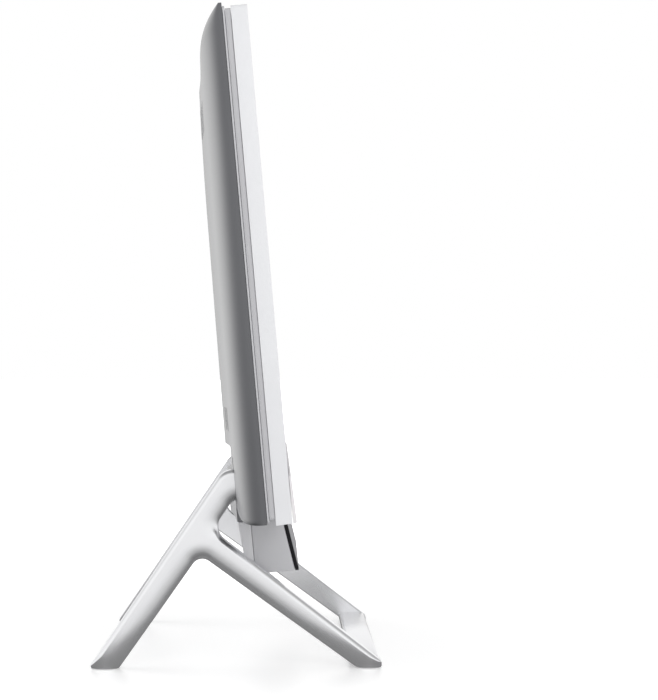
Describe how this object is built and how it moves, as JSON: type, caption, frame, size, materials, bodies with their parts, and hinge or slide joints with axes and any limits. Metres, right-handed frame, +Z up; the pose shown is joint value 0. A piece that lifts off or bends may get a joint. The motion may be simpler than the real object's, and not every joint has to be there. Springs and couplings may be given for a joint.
{
  "type": "all-in-one desktop computer",
  "caption": "All-in-one desktop computer: a leaning display body with a sound bar under it, on a tilt hinge between two splayed metal side frames joined by a front bar.",
  "frame": {"origin": "on the desk, under the middle of the outside box", "axes": "+Z up, +X to the right of the person who looks at the display, the display faces -Y"},
  "size_m": [0.6126, 0.2343, 0.5073],
  "materials": {
    "stand_metal": "satin silver",
    "hinge_steel": "bare steel",
    "foot_rubber": "matt",
    "bezel_plastic": "pearl white, satin gloss",
    "chin_plastic": "warm white, satin gloss",
    "cover_glass": "polished",
    "panel_dark": "dark, switched off",
    "guide_acrylic": "clear",
    "sheet_steel": "plated sheet",
    "chassis_metal": "matt light gray",
    "trim_metal": "bright satin",
    "cover_plastic": "silver paint, satin",
    "board": "solder mask",
    "chip_black": "matt",
    "copper": "bare copper",
    "fin_metal": "bare",
    "fan_plastic": "matt",
    "lens_glass": "polished",
    "bar_plastic": "satin gray",
    "gasket_rubber": "matt",
    "grille_cloth": "woven look"
  },
  "bodies": {
    "stand": {"stand_frame_left": "stand_metal", "stand_frame_right": "stand_metal", "front_cross_bar": "stand_metal", "hinge_shaft": "hinge_steel", "friction_washer_left": "hinge_steel", "friction_washer_right": "hinge_steel", "foot_pad_rear_left": "foot_rubber", "foot_pad_rear_right": "foot_rubber", "foot_pad_front_left": "foot_rubber", "foot_pad_front_right": "foot_rubber"},
    "display": {"hinge_bracket_left": "hinge_steel", "hinge_bracket_right": "hinge_steel", "hinge_screw_left_low": "hinge_steel", "hinge_screw_left_high": "hinge_steel", "hinge_screw_right_low": "hinge_steel", "hinge_screw_right_high": "hinge_steel", "front_bezel": "bezel_plastic", "chin_panel": "chin_plastic", "cover_glass": "cover_glass", "display_panel": "panel_dark", "light_guide": "guide_acrylic", "backlight_tray": "sheet_steel", "drive_tray": "sheet_steel", "network_socket": "sheet_steel", "picture_in_socket": "sheet_steel", "picture_out_socket": "sheet_steel", "usb_sockets_right": "sheet_steel", "usb_sockets_left": "sheet_steel", "small_usb_socket": "sheet_steel", "card_slot": "sheet_steel", "chassis_frame": "chassis_metal", "trim_ring": "trim_metal", "rear_cover": "cover_plastic", "sound_bar_back": "cover_plastic", "mainboard": "board", "side_board": "board", "button_board": "board", "processor": "chip_black", "memory_module_low": "chip_black", "memory_module_high": "chip_black", "drive_stick": "chip_black", "wireless_card": "chip_black", "cold_plate": "copper", "heat_pipe": "copper", "fin_stack": "fin_metal", "hard_drive": "fin_metal", "fan_housing": "fan_plastic", "power_inlet": "fan_plastic", "headset_socket": "fan_plastic", "camera_guide": "fan_plastic", "speaker_left": "fan_plastic", "speaker_right": "fan_plastic", "sound_bar_housing": "bar_plastic", "sound_bar_gasket": "gasket_rubber", "sound_bar_grille": "grille_cloth"},
    "camera": {"camera_carriage": "trim_metal", "camera_lens": "lens_glass"},
    "power_key": {"power_button": "trim_metal"},
    "source_key": {"source_button": "trim_metal"},
    "fan": {"fan_rotor": "fan_plastic"}
  },
  "joints": [
    {"name": "display_tilt", "type": "hinge", "parent": "stand", "child": "display", "pos_m": [0, -0.01334, 0.14758], "axis": [1, 0, 0], "range_deg": [-20, 10]},
    {"name": "camera_rise", "type": "slide", "parent": "display", "child": "camera", "axis": [0, 0.0879, 0.9961], "range_m": [0, 0.024]},
    {"name": "power_press", "type": "slide", "parent": "display", "child": "power_key", "axis": [0, 0.0879, 0.9961], "range_m": [0, 0.0012], "stiffness_N_per_m": 1500},
    {"name": "source_press", "type": "slide", "parent": "display", "child": "source_key", "axis": [0, 0.0879, 0.9961], "range_m": [0, 0.0012], "stiffness_N_per_m": 1500},
    {"name": "fan_spin", "type": "hinge", "parent": "display", "child": "fan", "pos_m": [0.153, 0.00156, 0.32797], "axis": [0, 0.9961, -0.0879], "continuous": true}
  ]
}
